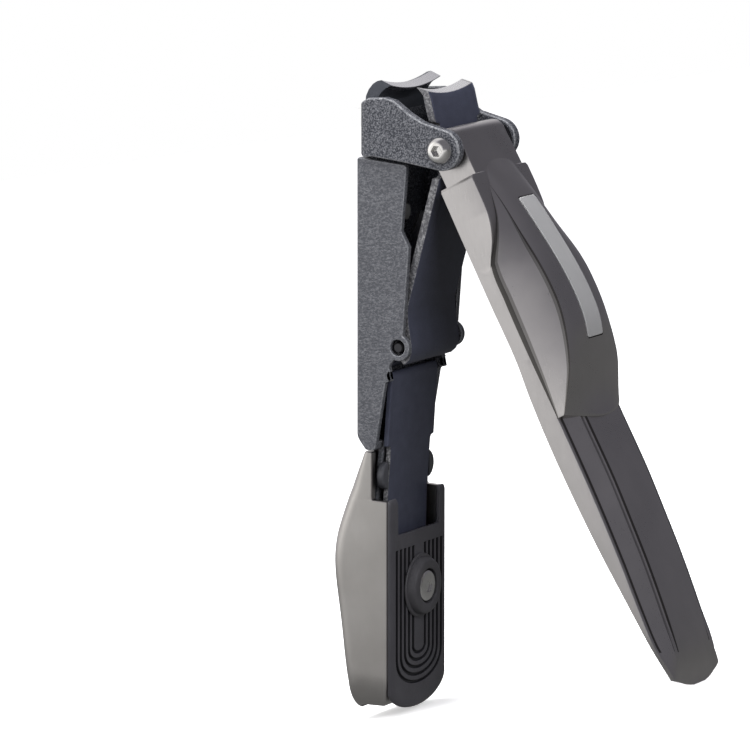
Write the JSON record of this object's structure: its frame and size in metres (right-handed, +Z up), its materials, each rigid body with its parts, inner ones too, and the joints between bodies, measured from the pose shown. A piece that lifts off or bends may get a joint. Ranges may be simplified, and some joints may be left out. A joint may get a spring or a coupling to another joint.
{
  "type": "lever nail clipper",
  "caption": "Heavy-duty toenail clipper with two claw jaws, a long humped cast lever and a ribbed lower handle, standing open.",
  "frame": {"origin": "centre of the bounding box's bottom, on the floor that the handle and the lever's tip stand on", "axes": "+Z up, X across the width along the pivot, -Y towards the open lever"},
  "size_m": [0.0248, 0.0612, 0.1055],
  "materials": {
    "hammertone_channel": "hammertone paint, grey",
    "hammertone_bracket": "hammertone paint, darker",
    "blued_steel": "smooth blue-black, satin",
    "black_steel": "blackened",
    "plain_steel": "plain, slightly dull",
    "satin_gunmetal": "satin gunmetal plating",
    "grip_plastic": "fine matt, ribbed",
    "button_plastic": "fine matt",
    "screw_steel": "bright",
    "inlay_aluminium": "fine satin grain"
  },
  "bodies": {
    "frame": {"grip_plate": "grip_plastic", "handle_housing": "satin_gunmetal", "jaw_bracket": "hammertone_bracket", "jaw_return_spring": "plain_steel", "leaf_hinge_pin": "black_steel", "lower_cover": "blued_steel", "pivot_barrel": "black_steel", "pivot_screw_left": "screw_steel", "pivot_screw_right": "screw_steel", "pivot_washer_left": "black_steel", "pivot_washer_right": "black_steel", "rear_channel": "hammertone_channel", "spine_rivet_lower": "plain_steel", "spine_rivet_upper": "plain_steel", "spring_rivet": "plain_steel", "stop_boss": "grip_plastic", "stop_boss_screw": "screw_steel", "tongue_screw": "plain_steel"},
    "lever": {"lever_shell": "satin_gunmetal", "inlay_strip": "inlay_aluminium", "cam_block": "black_steel"},
    "front_leaf": {"front_jaw_leaf": "blued_steel"},
    "left_button": {"side_button_left": "button_plastic"},
    "right_button": {"side_button_right": "button_plastic"}
  },
  "joints": [
    {"name": "lever_pivot", "type": "hinge", "parent": "frame", "child": "lever", "pos_m": [0, -0.00379, 0.09268], "axis": [1, 0, 0], "range_deg": [0, 31.9]},
    {"name": "leaf_rock", "type": "hinge", "parent": "frame", "child": "front_leaf", "pos_m": [0, 0.01087, 0.06146], "axis": [-1, 0, 0], "range_deg": [0, 5.25]},
    {"name": "left_button_slide", "type": "slide", "parent": "frame", "child": "left_button", "axis": [-1, 0, 0], "range_m": [0, 0.00245]},
    {"name": "right_button_slide", "type": "slide", "parent": "frame", "child": "right_button", "axis": [1, 0, 0], "range_m": [0, 0.00245]}
  ],
  "couplings": [
    {"joint": "leaf_rock", "follows": "lever_pivot", "ratio": 0.16301},
    {"joint": "left_button_slide", "follows": "lever_pivot", "m_per_rad": 0.0043107},
    {"joint": "right_button_slide", "follows": "lever_pivot", "m_per_rad": 0.0043107}
  ]
}
